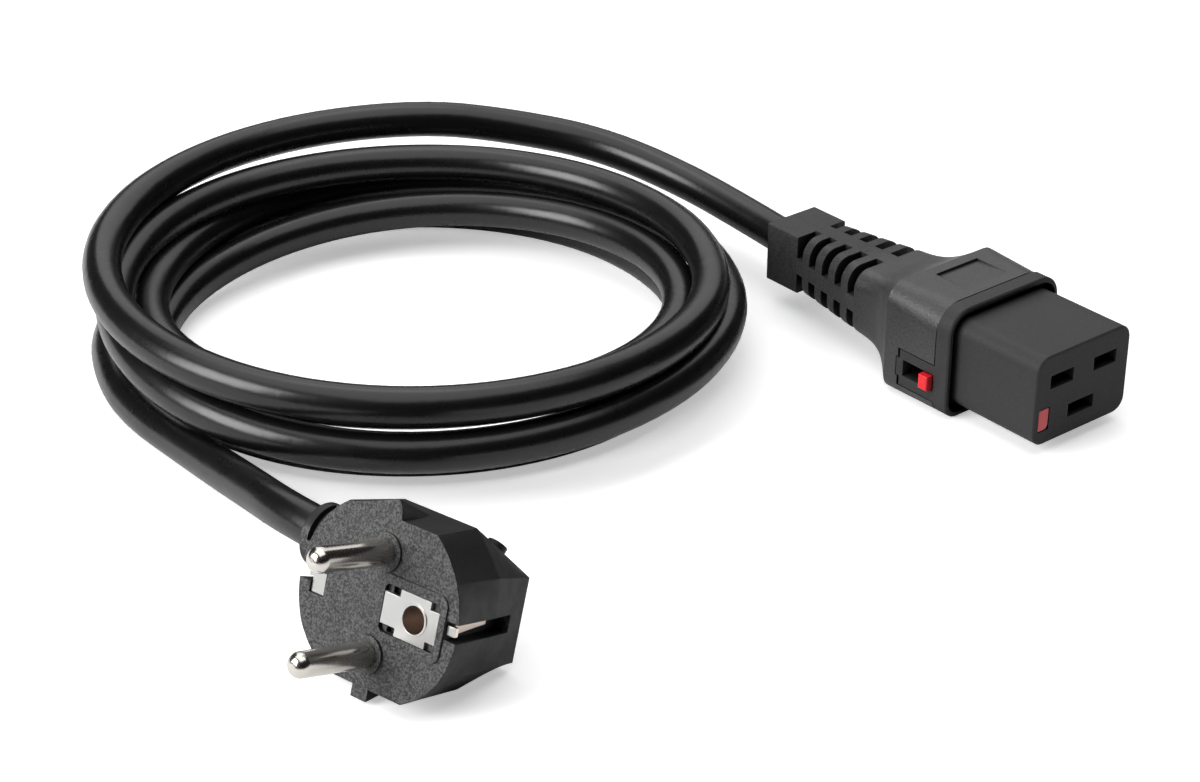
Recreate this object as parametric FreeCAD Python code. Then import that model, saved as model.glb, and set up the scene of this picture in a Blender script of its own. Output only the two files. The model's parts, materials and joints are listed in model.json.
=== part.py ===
"""Locking C19 appliance connector on a coiled three-core cord with an angled earthed two-pin mains plug.

Units are millimetres. +X runs along the connector's axis towards its mating face, +Z is up and the connector
lies on Z = 0. The origin is at the bottom centre of the connector's own box.
"""
import FreeCAD, Part
import math
import os

V = FreeCAD.Vector

# ---------------------------------------------------------------- driving dimensions
# Connector lengths along X, from the mating face back to the cord
NOSE_LENGTH = 22.5
RING_LENGTH = 3.7
GRIP_LENGTH = 14.8
NECK_LENGTH = 15.6
RELIEF_SLOTS = 5
SLOT_PITCH = 4.94
SLOT_WIDTH = 2.45
END_BLOCK_LENGTH = 9.9

# Nose and inner core
NOSE_WIDTH = 28.0
NOSE_HEIGHT = 20.4
NOSE_RADIUS = 3.4
CORE_LENGTH = 12.6
FACE_WALL = 3.0
MOUTH_CHAMFER = 0.35

# Contact slots in the face
POLE_SPACING = 13.0
EARTH_OFFSET = 8.5
POLE_ROW_ABOVE_AXIS = 3.95
POLE_SLOT_WIDTH = 6.8
EARTH_SLOT_WIDTH = 7.7
SLOT_HEIGHT = 3.05

# Collar ring and grip
BODY_WIDTH = 33.0
BODY_HEIGHT = 25.2
TOP_RADIUS = 6.5
RING_TOP_RADIUS = 5.5
BOTTOM_RADIUS = 4.0
HOOD_WALL = 1.1
HOOD_DEPTH = 3.0
RIM_CHAMFER = 0.35
SEAM_GAP = 0.25
INSERT_GAP = 0.05
GRIP_REAR_TOP_RADIUS = 4.4
GRIP_REAR_BOTTOM_RADIUS = 3.6
LABEL_LENGTH = 9.4
LABEL_WIDTH = 12.6
LABEL_DEPTH = 0.6
LABEL_FROM_GRIP_REAR = 2.7
LABEL_MIDDLE_Y = 1.2

# Neck and strain relief
NECK_END_WIDTH = 22.0
NECK_END_HEIGHT = 15.4
NECK_STATIONS = [(3.0, 28.6, 21.2), (7.0, 24.5, 17.8), (11.0, 22.7, 16.2)]
RELIEF_END_WIDTH = 15.0
RELIEF_END_HEIGHT = 14.5
RIB_CORNER_RADIUS = 4.0
END_BLOCK_WIDTH = 14.5
END_BLOCK_HEIGHT = 13.9
BLOCK_EDGE_RADIUS = 0.4
SPINE_WIDTH = 4.2
SIDE_SPINE_WIDTH = 3.6
RELIEF_CORE_RADIUS = 4.9

# Side tongue and the slider's window
TONGUE_LENGTH = 10.2
TONGUE_LOW = 3.3
TONGUE_HIGH = 11.7
TONGUE_GAP = 0.22
SLIT_WIDTH = 0.6
STOP_LOW = 5.4
STOP_HIGH = 9.6
STOP_LENGTH = 1.9
WINDOW_LOW = 5.75
WINDOW_HIGH = 9.55
WINDOW_BEHIND_FACE = 26.4
WINDOW_LENGTH = 9.0

# Release slider
SLIDER_TRAVEL = 4.0
BAR_WIDTH = 2.8
BAR_HEIGHT = 4.8
BAR_LOW = 5.9
BAR_INSET = 1.5
BAR_TIP_RADIUS = 1.1
SLIDE_GAP = 0.2
BUTTON_LENGTH = 2.6
BUTTON_PROUD = 1.7
BUTTON_GAP = 0.25
SPRING_DIAMETER = 2.2
SPRING_WIRE = 0.3
SPRING_TURNS = 5
SPRING_ROOM = 0.3
SPRING_END_WALL = 1.2
BAR_BEHIND_FACE = 0.1
BUTTON_EDGE_RADIUS = 0.35

# Contacts, retainer and cores
CHAMBER_DEPTH = 20.0
CHAMBER_HEIGHT = 5.0
CHAMBER_SIDE = 0.7
RETAINER_SIDE_WALL = 0.6
CONTACT_LENGTH = 15.0
CONTACT_SHEET = 0.4
CONTACT_GAP = 0.3
LEAF_STRAIGHT = 4.5
LEAF_PINCH_FROM_MOUTH = 2.5
LEAF_HALF_OPENING = 0.9
LEAF_FLARE = 0.7
CLIP_SHEET = 0.5
CLIP_BEHIND_FACE = 11.5
CLIP_MARGIN = 2.0
CLIP_WINDOW_GAP = 0.15
CLIP_TAIL_LENGTH = 3.5
CLIP_TAIL_GAP = 0.4
CLIP_ROOM = 0.3
RETAINER_THICKNESS = 3.0
WIRE_DIAMETER = 3.0
WIRE_CLEARANCE = 0.1
BARREL_LENGTH = 4.0
BARREL_WALL = 0.4
WIRE_PITCH_RADIUS = 2.1
CORE_STRAIGHT = 4.0

# Cord
CORD_DIAMETER = 8.4
CORD_SEAT_DEPTH = 12.0
CORD_CLEARANCE = 0.1

# Outer shape of the coiled cord
COIL_CENTRE_X = -75.8
COIL_CENTRE_Y = -80.8
COIL_OUTER_RADIUS = 75.0
COIL_INNER_RADIUS = 45.5
COIL_HEIGHT = 30.5
COIL_INNER_HEIGHT = 17.0
COIL_EDGE = 6.0

# Mains plug, in its own frame: face at X = 0 looking along +X, pins one above the other along Z
PLUG_FACE_X = 27.05
PLUG_FACE_Y = -163.5
PLUG_FACE_Z = 17.65
PLUG_YAW = -79.7
PLUG_PITCH = 20.4
PLUG_ROLL = 2.4
FACE_RADIUS = 19.1
PLUG_DEPTH = 23.2
PLUG_SHOULDER_AT = 12.5
PLUG_SHOULDER_BULGE = 0.4
PLUG_BACK_WIDTH = 28.6
# Corners (y, z) of the +Y half of three sections: bottom, lower side, upper side, top
FACE_CORNERS = [(9.4, -15.7), (16.85, -9.0), (16.85, 9.0), (10.5, 15.9)]
SHOULDER_CORNERS = [(11.4, -13.7), (15.8, -8.6), (16.0, 8.6), (8.8, 15.7)]
BACK_CORNERS = [(12.4, -9.6), (PLUG_BACK_WIDTH / 2, -8.9), (PLUG_BACK_WIDTH / 2, 7.3), (12.3, 8.0)]
RIDGE_OUTLINE = [(-9.7, 15.0), (-9.5, 15.9), (0.7, 19.4), (1.7, 18.1), (2.2, 15.0)]
RIDGE_LENGTH = 9.5
RIDGE_FALL = 3.9
LAND_LEFT = -2.2
LAND_RIGHT = 1.6
LAND_LOW = -18.0
LAND_LENGTH = 5.5
LAND_RISE = 1.5
LAND_INSIDE = 1.0
BUMP_AT = (-20.1, 7.4)
BUMP_DIAMETER = 4.0
BUMP_HEIGHT = 1.7
PIN_SPACING = 19.0
PIN_DIAMETER = 4.8
PIN_LENGTH = 19.0
PIN_SHANK = 12.0
PIN_SHANK_DIAMETER = 4.2
PIN_TIP_ROUNDING = 0.85
PIN_GAP = 0.05
PIN_RING_DIAMETER = 7.2
PIN_RING_HEIGHT = 0.5
TAIL_FROM_SHANK_END = 2.4
TAIL_LENGTH = 6.5
TAIL_BORE_FROM_AXIS = 3.0
EARTH_HOLE_DIAMETER = 5.1
EARTH_HOLE_OFFSET = 9.2
EARTH_PLATE_MIDDLE = 8.1
EARTH_PLATE_WIDTH = 13.0
EARTH_PLATE_HEIGHT = 8.6
EARTH_PLATE_THICKNESS = 0.8
EARTH_PLATE_NOTCH = 1.4
EARTH_OUTER_NOTCH_LENGTH = 2.2
EARTH_INNER_NOTCH_LENGTH = 3.6
EARTH_SINK_DEPTH = 3.5
EARTH_POCKET_DEPTH = 0.55
EARTH_POCKET_GAP = 0.1
EARTH_FRAME_WIDTH = 16.0
EARTH_FRAME_HEIGHT = 12.4
EARTH_FRAME_RISE = 0.35
EARTH_FRAME_RADIUS = 2.0
EARTH_TUBE_WALL = 0.4
EARTH_RIM_PROUD = 0.2
EARTH_TUBE_LENGTH = 14.0
SIDE_SLOT_LENGTH = 18.5
CORD_SIDE_SLOT_LENGTH = 9.5
SIDE_SLOT_LOW = -2.25
SIDE_SLOT_HEIGHT = 3.4
SIDE_SLOT_RISE = 1.2
SIDE_SLOT_DEPTH = 2.9
STRAP_LOW = -0.3
STRAP_HIGH = 1.4
STRAP_THICKNESS = 0.9
STRAP_REACH = 9.3
STRAP_LEG_END = 12.8
STRAP_FROM_FACE = 0.4
STRAP_FOOT = 1.9
STRAP_GAP = 0.1
STRAP_EYE_WALL = 1.6
STRAP_TAB_FROM_MIDDLE = 12.9
STRAP_TAB_LOW = -3.1
STRAP_TAB_HIGH = 1.0
STRAP_BARREL_MIDDLE = 8.5
STRAP_BARREL_LENGTH = 5.0
COLLAR_CENTRE_X = -17.0
COLLAR_CENTRE_Z = 1.7
COLLAR_END_Y = -31.0
COLLAR_DIAMETER = 12.6
COLLAR_LENGTH = 7.0
COLLAR_EDGE = 0.5
COLLAR_SLOT_WIDTH = 1.3
COLLAR_SLOT_DEPTH = 1.3
COLLAR_SLOT_FROM_END = 2.3
NECK_ROOT_DIAMETER = 19.0
NECK_ROOT_X = -12.0
NECK_ROOT_Z = 1.5
NECK_ROOT_Y = -12.0
PLUG_CORD_SEAT = 5.0
PLUG_CORD_STRAIGHT = 7.0
CORE_SPREAD_Y = -18.5
CORE_SPREAD = [(-0.1, 0.5, 4.9), (-1.7, 0, -3.6), (1.6, -0.5, -0.4)]
BRIDGE_LENGTH = 6.0
BRIDGE_WIDTH = 9.0
BRIDGE_HEIGHT = 27.0
BRIDGE_RADIUS = 3.0
BRIDGE_BEHIND_FACE = 1.5
BRIDGE_GAP = 0.1

# ---------------------------------------------------------------- derived places
RELIEF_LENGTH = (RELIEF_SLOTS - 1) * SLOT_PITCH + SLOT_WIDTH + END_BLOCK_LENGTH
LENGTH = NOSE_LENGTH + RING_LENGTH + GRIP_LENGTH + NECK_LENGTH + RELIEF_LENGTH
FACE_X = LENGTH / 2
RING_FRONT = FACE_X - NOSE_LENGTH
SEAM_X = RING_FRONT - RING_LENGTH
GRIP_REAR = SEAM_X - GRIP_LENGTH
NECK_REAR = GRIP_REAR - NECK_LENGTH
BLOCK_FRONT = -LENGTH / 2 + END_BLOCK_LENGTH
CORE_REAR = SEAM_X - CORE_LENGTH
AXIS_Z = BODY_HEIGHT / 2
AXIS_Y = BUTTON_PROUD / 2
EARTH_Z = POLE_ROW_ABOVE_AXIS - EARTH_OFFSET
CHAMBER_FRONT = FACE_X - FACE_WALL
CHAMBER_REAR = CHAMBER_FRONT - CHAMBER_DEPTH
CONTACT_FRONT = CHAMBER_FRONT - CONTACT_GAP
CONTACT_REAR = CONTACT_FRONT - CONTACT_LENGTH
BARREL_REAR = CONTACT_REAR - BARREL_LENGTH
RETAINER_REAR = CHAMBER_REAR - CONTACT_GAP - RETAINER_THICKNESS
WIRE_HOLE_RADIUS = WIRE_DIAMETER / 2 + WIRE_CLEARANCE
CAVITY_WIDTH = POLE_SPACING + 2 * WIRE_HOLE_RADIUS + 2 * RETAINER_SIDE_WALL
SPRING_REST_X = CORE_REAR + SPRING_END_WALL
CORD_RADIUS = CORD_DIAMETER / 2
LEAD_START = -LENGTH / 2 + CORD_SEAT_DEPTH

# Hand-chosen route points of the two free stretches of cord; both end inside the coil's own solid
LEAD_POINTS = [
    V(LEAD_START, AXIS_Y, AXIS_Z),
    V(-56.0, AXIS_Y, AXIS_Z),
    V(-81.5, -0.4, 14.6),
    V(-104.6, -7.4, 18.6),
    V(-120.6, -21.6, 22.0),
    V(-131.0, -40.2, 24.4),
]
TAIL_POINTS = [
    V(-29.0, -154.2, 10.9),
    V(-44.5, -152.2, 7.5),
    V(-61.0, -149.9, 4.9),
    V(-78.0, -148.6, 4.3),
    V(-94.0, -145.6, 4.25),
]


# ---------------------------------------------------------------- small helpers
def box(x0, x1, y0, y1, z0, z1):
    return Part.makeBox(x1 - x0, y1 - y0, z1 - z0, V(x0, y0, z0))


def section_x(x, width, low, high, top_radius, bottom_radius):
    """Closed wire in the plane at x: a rectangle with its own top and bottom corner radii."""
    half = width / 2
    k = math.sqrt(0.5)

    def corner(sy, sz, radius):
        cy = sy * (half - radius)
        cz = high - radius if sz > 0 else low + radius
        on_side = V(x, cy + sy * radius, cz)
        on_flat = V(x, cy, cz + sz * radius)
        middle = V(x, cy + sy * radius * k, cz + sz * radius * k)
        return (on_flat, middle, on_side) if sy * sz < 0 else (on_side, middle, on_flat)

    arcs = [corner(1, -1, bottom_radius), corner(1, 1, top_radius), corner(-1, 1, top_radius),
            corner(-1, -1, bottom_radius)]
    edges = []
    for arc, following in zip(arcs, arcs[1:] + arcs[:1]):
        edges.append(Part.Arc(*arc).toShape())
        edges.append(Part.LineSegment(arc[2], following[0]).toShape())
    return Part.Wire(edges)


def rounded_block(x0, x1, width, height, radius, y_mid=0.0, z_mid=0.0):
    """Block along X with four equal corner radii."""
    wire = section_x(x0, width, -height / 2, height / 2, radius, radius)
    block = Part.Face(wire).extrude(V(x1 - x0, 0, 0))
    block.translate(V(0, y_mid, z_mid))
    return block


def body_block(x0, x1, top_radius=TOP_RADIUS):
    """Block with the connector's full section."""
    wire = section_x(x0, BODY_WIDTH, -BODY_HEIGHT / 2, BODY_HEIGHT / 2, top_radius, BOTTOM_RADIUS)
    return Part.Face(wire).extrude(V(x1 - x0, 0, 0))


def plate_xz(points, y0, y1):
    """Flat outline in XZ, extruded from y0 to y1."""
    corners = [V(x, y0, z) for x, z in points]
    face = Part.Face(Part.makePolygon(corners + corners[:1]))
    return face.extrude(V(0, y1 - y0, 0))


def plate_xy(points, z0, z1):
    """Flat outline in XY, extruded from z0 to z1."""
    corners = [V(x, y, z0) for x, y in points]
    face = Part.Face(Part.makePolygon(corners + corners[:1]))
    return face.extrude(V(0, 0, z1 - z0))


def rod_x(x0, x1, y, z, radius):
    return Part.makeCylinder(radius, x1 - x0, V(x0, y, z), V(1, 0, 0))


def rod_y(y0, y1, x, z, radius):
    return Part.makeCylinder(radius, y1 - y0, V(x, y0, z), V(0, 1, 0))


def edges_at(shape, axis, value):
    """Edges that lie in the plane where the named axis has the value."""
    low = axis + "Min"
    high = axis + "Max"
    return [e for e in shape.Edges
            if abs(getattr(e.BoundBox, low) - value) < 1e-5 and abs(getattr(e.BoundBox, high) - value) < 1e-5]


def round_path(points):
    """Straight runs joined by tangent arcs as large as the two runs beside each point allow."""
    edges = []
    radii = []
    start = points[0]
    for before, corner, after in zip(points, points[1:], points[2:]):
        to_before = (before - corner).normalize()
        to_after = (after - corner).normalize()
        turn = math.pi - to_before.getAngle(to_after)
        reach = 0.45 * min(before.distanceToPoint(corner), after.distanceToPoint(corner))
        radius = reach / math.tan(turn / 2)
        radii.append(radius)
        arc_start = corner + to_before * reach
        arc_end = corner + to_after * reach
        bisector = (to_before + to_after).normalize()
        arc_middle = corner + bisector * (radius / math.cos(turn / 2) - radius)
        edges.append(Part.LineSegment(start, arc_start).toShape())
        edges.append(Part.Arc(arc_start, arc_middle, arc_end).toShape())
        start = arc_end
    edges.append(Part.LineSegment(start, points[-1]).toShape())
    return Part.Wire(edges), radii


def tube_along(name, points, radius):
    """Round tube along a route, with its volume compared with section times length."""
    path, radii = round_path(points)
    circle = Part.Wire(Part.Circle(points[0], points[1] - points[0], radius).toShape())
    tube = path.makePipeShell([circle], True, False)
    expected = math.pi * radius ** 2 * path.Length
    print("%-18s length %6.1f  bend radii %s  volume ratio %.4f"
          % (name, path.Length, " ".join("%.0f" % r for r in radii), tube.Volume / expected))
    return tube


# ---------------------------------------------------------------- connector, in its own axis frame
def slider_sides():
    """Y range of the slider's bar, on the nose's -Y side."""
    outer = -NOSE_WIDTH / 2 + BAR_INSET
    return outer, outer + BAR_WIDTH


def slider_heights():
    low = BAR_LOW - AXIS_Z
    return low, low + BAR_HEIGHT


def button_ends():
    """X range of the button and its arm at rest, against the window's front end."""
    front = FACE_X - WINDOW_BEHIND_FACE - BUTTON_GAP
    return front - BUTTON_LENGTH, front


def bar_rear():
    return button_ends()[0] - SLIDE_GAP


def poles():
    """Name, slot centre (y, z) and slot width of each pole."""
    return [
        ("line", -POLE_SPACING / 2, POLE_ROW_ABOVE_AXIS, POLE_SLOT_WIDTH),
        ("neutral", POLE_SPACING / 2, POLE_ROW_ABOVE_AXIS, POLE_SLOT_WIDTH),
        ("earth", 0.0, EARTH_Z, EARTH_SLOT_WIDTH),
    ]


def socket_body():
    core = rounded_block(CORE_REAR, FACE_X, NOSE_WIDTH, NOSE_HEIGHT, NOSE_RADIUS)
    core = core.makeChamfer(MOUTH_CHAMFER, edges_at(core, "X", FACE_X))
    ring = body_block(SEAM_X, RING_FRONT, RING_TOP_RADIUS)
    ring = ring.makeChamfer(RIM_CHAMFER, edges_at(ring, "X", RING_FRONT))
    hood = section_x(RING_FRONT - HOOD_DEPTH, BODY_WIDTH - 2 * HOOD_WALL, -BODY_HEIGHT / 2 + HOOD_WALL,
                     BODY_HEIGHT / 2 - HOOD_WALL, RING_TOP_RADIUS - HOOD_WALL, BOTTOM_RADIUS - HOOD_WALL)
    ring = ring.cut(Part.Face(hood).extrude(V(RING_LENGTH, 0, 0)))
    body = core.fuse(ring).fuse(tongue())
    for _, y, z, width in poles():
        slot = box(CHAMBER_FRONT - FACE_WALL, FACE_X + FACE_WALL, y - width / 2, y + width / 2,
                   z - SLOT_HEIGHT / 2, z + SLOT_HEIGHT / 2)
        half = width / 2 + CHAMBER_SIDE
        chamber = box(CHAMBER_REAR, CHAMBER_FRONT, y - half, y + half, z - CHAMBER_HEIGHT / 2, z + CHAMBER_HEIGHT / 2)
        body = body.cut(slot).cut(chamber)
    body = body.cut(rear_cavity(0.0))
    body = body.cut(slider_channel())
    body = body.cut(clip_pocket())
    return body.removeSplitter()


def tongue():
    """Side tongue of the front body with its narrower stop behind, flush with the grip."""
    outer = -BODY_WIDTH / 2
    inner = -NOSE_WIDTH / 2 + NOSE_RADIUS / 2
    rear = SEAM_X - TONGUE_LENGTH
    plate = box(rear, SEAM_X, outer, inner, TONGUE_LOW - AXIS_Z, TONGUE_HIGH - AXIS_Z)
    stop = box(rear - STOP_LENGTH / 2, rear, outer, inner, STOP_LOW - AXIS_Z, STOP_HIGH - AXIS_Z)
    return plate.fuse(stop).common(body_block(rear - STOP_LENGTH, SEAM_X))


def rear_cavity(gap):
    """Room behind the contact chambers for the retainer and the cores; a gap makes it smaller all round."""
    half = CAVITY_WIDTH / 2 - gap
    high = POLE_ROW_ABOVE_AXIS + CHAMBER_HEIGHT / 2 - gap
    low = EARTH_Z - CHAMBER_HEIGHT / 2 + gap
    return box(CORE_REAR - 1, CHAMBER_REAR, -half, half, low, high)


def slider_channel():
    """Channel for the bar, the window for the button and the pocket for the spring."""
    y0, y1 = slider_sides()
    z0, z1 = slider_heights()
    bar = box(bar_rear() - SLIDER_TRAVEL - SLIDE_GAP, FACE_X + 1, y0 - SLIDE_GAP, y1 + SLIDE_GAP,
              z0 - SLIDE_GAP, z1 + SLIDE_GAP)
    window_front = FACE_X - WINDOW_BEHIND_FACE
    window = box(window_front - WINDOW_LENGTH, window_front, -BODY_WIDTH, y1, WINDOW_LOW - AXIS_Z,
                 WINDOW_HIGH - AXIS_Z)
    y, z = spring_centre()
    pocket = rod_x(SPRING_REST_X, bar_rear(), y, z, SPRING_DIAMETER / 2 + SPRING_ROOM)
    return bar.fuse(window).fuse(pocket)


def spring_centre():
    y0, y1 = slider_sides()
    z0, z1 = slider_heights()
    return (y0 + y1) / 2, (z0 + z1) / 2


def release_slider():
    """Bar with its tip in the face and the button that stands out of the side window."""
    y0, y1 = slider_sides()
    z0, z1 = slider_heights()
    bar = box(bar_rear(), FACE_X - BAR_BEHIND_FACE, y0, y1, z0, z1)
    lower_inner = [e for e in edges_at(bar, "Y", y1) if abs(e.BoundBox.ZMax - z0) < 1e-5]
    bar = bar.makeFillet(BAR_TIP_RADIUS, lower_inner)
    rear, front = button_ends()
    outer = -BODY_WIDTH / 2 - BUTTON_PROUD
    low = WINDOW_LOW - AXIS_Z + BUTTON_GAP
    high = WINDOW_HIGH - AXIS_Z - BUTTON_GAP
    arm = box(rear, front, outer, y0 + BAR_WIDTH / 2, low, high)
    arm = arm.makeFillet(BUTTON_EDGE_RADIUS, edges_at(arm, "Y", outer))
    return bar.fuse(arm).removeSplitter()


def slider_spring():
    """Compression spring between the bar's rear end and the end of its pocket, its wire square."""
    y, z = spring_centre()
    rear = SPRING_REST_X + SPRING_WIRE
    length = bar_rear() - rear - SPRING_WIRE
    mean_radius = (SPRING_DIAMETER - SPRING_WIRE) / 2
    helix = Part.makeHelix(length / SPRING_TURNS, length, mean_radius)
    inner = mean_radius - SPRING_WIRE / 2
    outer = mean_radius + SPRING_WIRE / 2
    half = SPRING_WIRE / 2
    section = Part.makePolygon([V(inner, 0, -half), V(outer, 0, -half), V(outer, 0, half), V(inner, 0, half),
                                V(inner, 0, -half)])
    spring = Part.Wire(helix).makePipeShell([section], True, True)
    spring.Placement = FreeCAD.Placement(V(rear, y, z), FreeCAD.Rotation(V(0, 1, 0), 90))
    return spring


def contact(y, z, width):
    """Folded receptacle: two sprung leaves that close towards the mouth, a web and a crimp barrel."""
    half = CHAMBER_HEIGHT / 2 - CONTACT_GAP
    sheet = CONTACT_SHEET
    pinch = CONTACT_FRONT - LEAF_PINCH_FROM_MOUTH
    leaf = [
        (CONTACT_REAR, half),
        (CONTACT_REAR + LEAF_STRAIGHT, half),
        (pinch, LEAF_HALF_OPENING + sheet),
        (CONTACT_FRONT, LEAF_HALF_OPENING + LEAF_FLARE + sheet),
        (CONTACT_FRONT, LEAF_HALF_OPENING + LEAF_FLARE),
        (pinch, LEAF_HALF_OPENING),
        (CONTACT_REAR + LEAF_STRAIGHT, half - sheet),
        (CONTACT_REAR, half - sheet),
    ]
    y0 = y - width / 2
    y1 = y + width / 2
    upper = plate_xz([(x, z + s) for x, s in leaf], y0, y1)
    lower = plate_xz([(x, z - s) for x, s in leaf], y0, y1)
    web = box(CONTACT_REAR, CONTACT_REAR + sheet, y0, y1, z - half, z + half)
    barrel = rod_x(BARREL_REAR, CONTACT_REAR + sheet, y, z, WIRE_HOLE_RADIUS + BARREL_WALL)
    bore = rod_x(BARREL_REAR, CONTACT_REAR, y, z, WIRE_HOLE_RADIUS)
    return upper.fuse(lower).fuse(web).fuse(barrel).cut(bore).removeSplitter()


def contact_retainer():
    """Insert that closes the chambers: a plate with one hole for each core."""
    half = CAVITY_WIDTH / 2 - CONTACT_GAP
    high = POLE_ROW_ABOVE_AXIS + CHAMBER_HEIGHT / 2 - CONTACT_GAP
    low = EARTH_Z - CHAMBER_HEIGHT / 2 + CONTACT_GAP
    plate = box(RETAINER_REAR, RETAINER_REAR + RETAINER_THICKNESS, -half, half, low, high)
    for _, y, z, _ in poles():
        plate = plate.cut(rod_x(RETAINER_REAR, CHAMBER_REAR, y, z, WIRE_HOLE_RADIUS))
    return plate


def clip_ends():
    """X range of the clip's plate."""
    front = FACE_X - CLIP_BEHIND_FACE
    return front - CLIP_SHEET, front


def lock_clip():
    """Spring-steel plate round the earth contact, with a tail along the slider's bar."""
    half_width = EARTH_SLOT_WIDTH / 2 + CLIP_WINDOW_GAP
    half_height = CHAMBER_HEIGHT / 2 - CONTACT_GAP + CLIP_WINDOW_GAP
    rear, front = clip_ends()
    tail_side = slider_sides()[1] + CLIP_TAIL_GAP
    plate = box(rear, front, tail_side, half_width + CLIP_MARGIN, EARTH_Z - half_height - CLIP_MARGIN / 2,
                EARTH_Z + half_height + CLIP_MARGIN / 2)
    window = box(rear, front, -half_width, half_width, EARTH_Z - half_height, EARTH_Z + half_height)
    tail = box(rear, front + CLIP_TAIL_LENGTH, tail_side, tail_side + CLIP_SHEET, EARTH_Z - half_height,
               EARTH_Z + half_height)
    return plate.cut(window).fuse(tail).removeSplitter()


def clip_pocket():
    """Room for the clip, open towards the slider's channel."""
    clip = lock_clip().BoundBox
    room = CLIP_ROOM
    return box(clip.XMin - room, clip.XMax + room, slider_sides()[1], clip.YMax + room, clip.ZMin - room,
               clip.ZMax + room)


def gathered(order):
    """Place of one core round the cord's axis, as two offsets from it."""
    angle = math.radians(90 + 120 * order)
    return WIRE_PITCH_RADIUS * math.cos(angle), WIRE_PITCH_RADIUS * math.sin(angle)


def core_route(y, z, order):
    """Core from its crimp barrel to its place in the end of the cord."""
    dy, dz = gathered(order)
    return [
        V(CONTACT_REAR - WIRE_CLEARANCE, y, z),
        V(RETAINER_REAR - CORE_STRAIGHT, y, z),
        V(CORE_REAR - CORE_STRAIGHT, -dy, -dz),
        V(LEAD_START, -dy, -dz),
    ]


def core_routes():
    order = {"earth": 0, "neutral": 1, "line": 2}
    return {name: core_route(y, z, order[name]) for name, y, z, _ in poles()}


def mitred(points, radius):
    """Round rod along straight runs with mitred corners, for the hidden cores."""
    circle = Part.Wire(Part.Circle(points[0], points[1] - points[0], radius).toShape())
    return Part.makePolygon(points).makePipeShell([circle], True, False, 1)


def tunnel(points):
    """Clearance hole along a core's route."""
    return mitred(points, WIRE_HOLE_RADIUS)


def neck():
    """Concave sweep from the grip's section to the relief's."""
    stations = [(0.0, BODY_WIDTH, BODY_HEIGHT)] + NECK_STATIONS + [(NECK_LENGTH, NECK_END_WIDTH, NECK_END_HEIGHT)]
    sections = []
    for behind, width, height in stations:
        share = behind / NECK_LENGTH
        top = GRIP_REAR_TOP_RADIUS + (RIB_CORNER_RADIUS - GRIP_REAR_TOP_RADIUS) * share
        bottom = GRIP_REAR_BOTTOM_RADIUS + (RIB_CORNER_RADIUS - GRIP_REAR_BOTTOM_RADIUS) * share
        sections.append(section_x(GRIP_REAR - behind, width, -height / 2, height / 2, top, bottom))
    return Part.makeLoft(sections, True, False)


def strain_relief():
    """Tapering relief: corner slots leave four flat spines round a core, then a plain square end block."""
    front = section_x(NECK_REAR, NECK_END_WIDTH, -NECK_END_HEIGHT / 2, NECK_END_HEIGHT / 2,
                      RIB_CORNER_RADIUS, RIB_CORNER_RADIUS)
    rear = section_x(BLOCK_FRONT, RELIEF_END_WIDTH, -RELIEF_END_HEIGHT / 2, RELIEF_END_HEIGHT / 2,
                     RIB_CORNER_RADIUS, RIB_CORNER_RADIUS)
    relief = Part.makeLoft([front, rear], True, True)
    core = rod_x(BLOCK_FRONT, NECK_REAR, 0, 0, RELIEF_CORE_RADIUS)
    half = SPINE_WIDTH / 2
    side_half = SIDE_SPINE_WIDTH / 2
    for i in range(RELIEF_SLOTS):
        slot_rear = BLOCK_FRONT + i * SLOT_PITCH
        for side_y in (-1, 1):
            for side_z in (-1, 1):
                y0, y1 = sorted((side_y * half, side_y * BODY_WIDTH))
                z0, z1 = sorted((side_z * side_half, side_z * BODY_WIDTH))
                corner = box(slot_rear, slot_rear + SLOT_WIDTH, y0, y1, z0, z1)
                relief = relief.cut(corner.cut(core))
    block = rounded_block(-LENGTH / 2, BLOCK_FRONT, END_BLOCK_WIDTH, END_BLOCK_HEIGHT, BLOCK_EDGE_RADIUS)
    return relief.fuse(block)


def tongue_window():
    """Cut-out in the grip for the side tongue and its stop."""
    low = TONGUE_LOW - AXIS_Z - TONGUE_GAP
    high = TONGUE_HIGH - AXIS_Z + TONGUE_GAP
    rear = SEAM_X - TONGUE_LENGTH
    inner = -NOSE_WIDTH / 2 + NOSE_RADIUS / 2
    main = box(rear - SLIT_WIDTH, SEAM_X, -BODY_WIDTH, inner, low, high)
    stop = box(rear - STOP_LENGTH / 2 - TONGUE_GAP, rear, -BODY_WIDTH, inner,
               STOP_LOW - AXIS_Z - TONGUE_GAP, STOP_HIGH - AXIS_Z + TONGUE_GAP)
    return main.fuse(stop)


def label_recess():
    """Shallow recess in the grip's top, deepest at its rear edge and fading out towards the nose."""
    rear = GRIP_REAR + LABEL_FROM_GRIP_REAR
    top = BODY_HEIGHT / 2
    outline = [(rear, top + LABEL_DEPTH), (rear, top - LABEL_DEPTH), (rear + LABEL_LENGTH, top),
               (rear + LABEL_LENGTH, top + LABEL_DEPTH)]
    return plate_xz(outline, LABEL_MIDDLE_Y - LABEL_WIDTH / 2, LABEL_MIDDLE_Y + LABEL_WIDTH / 2)


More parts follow.
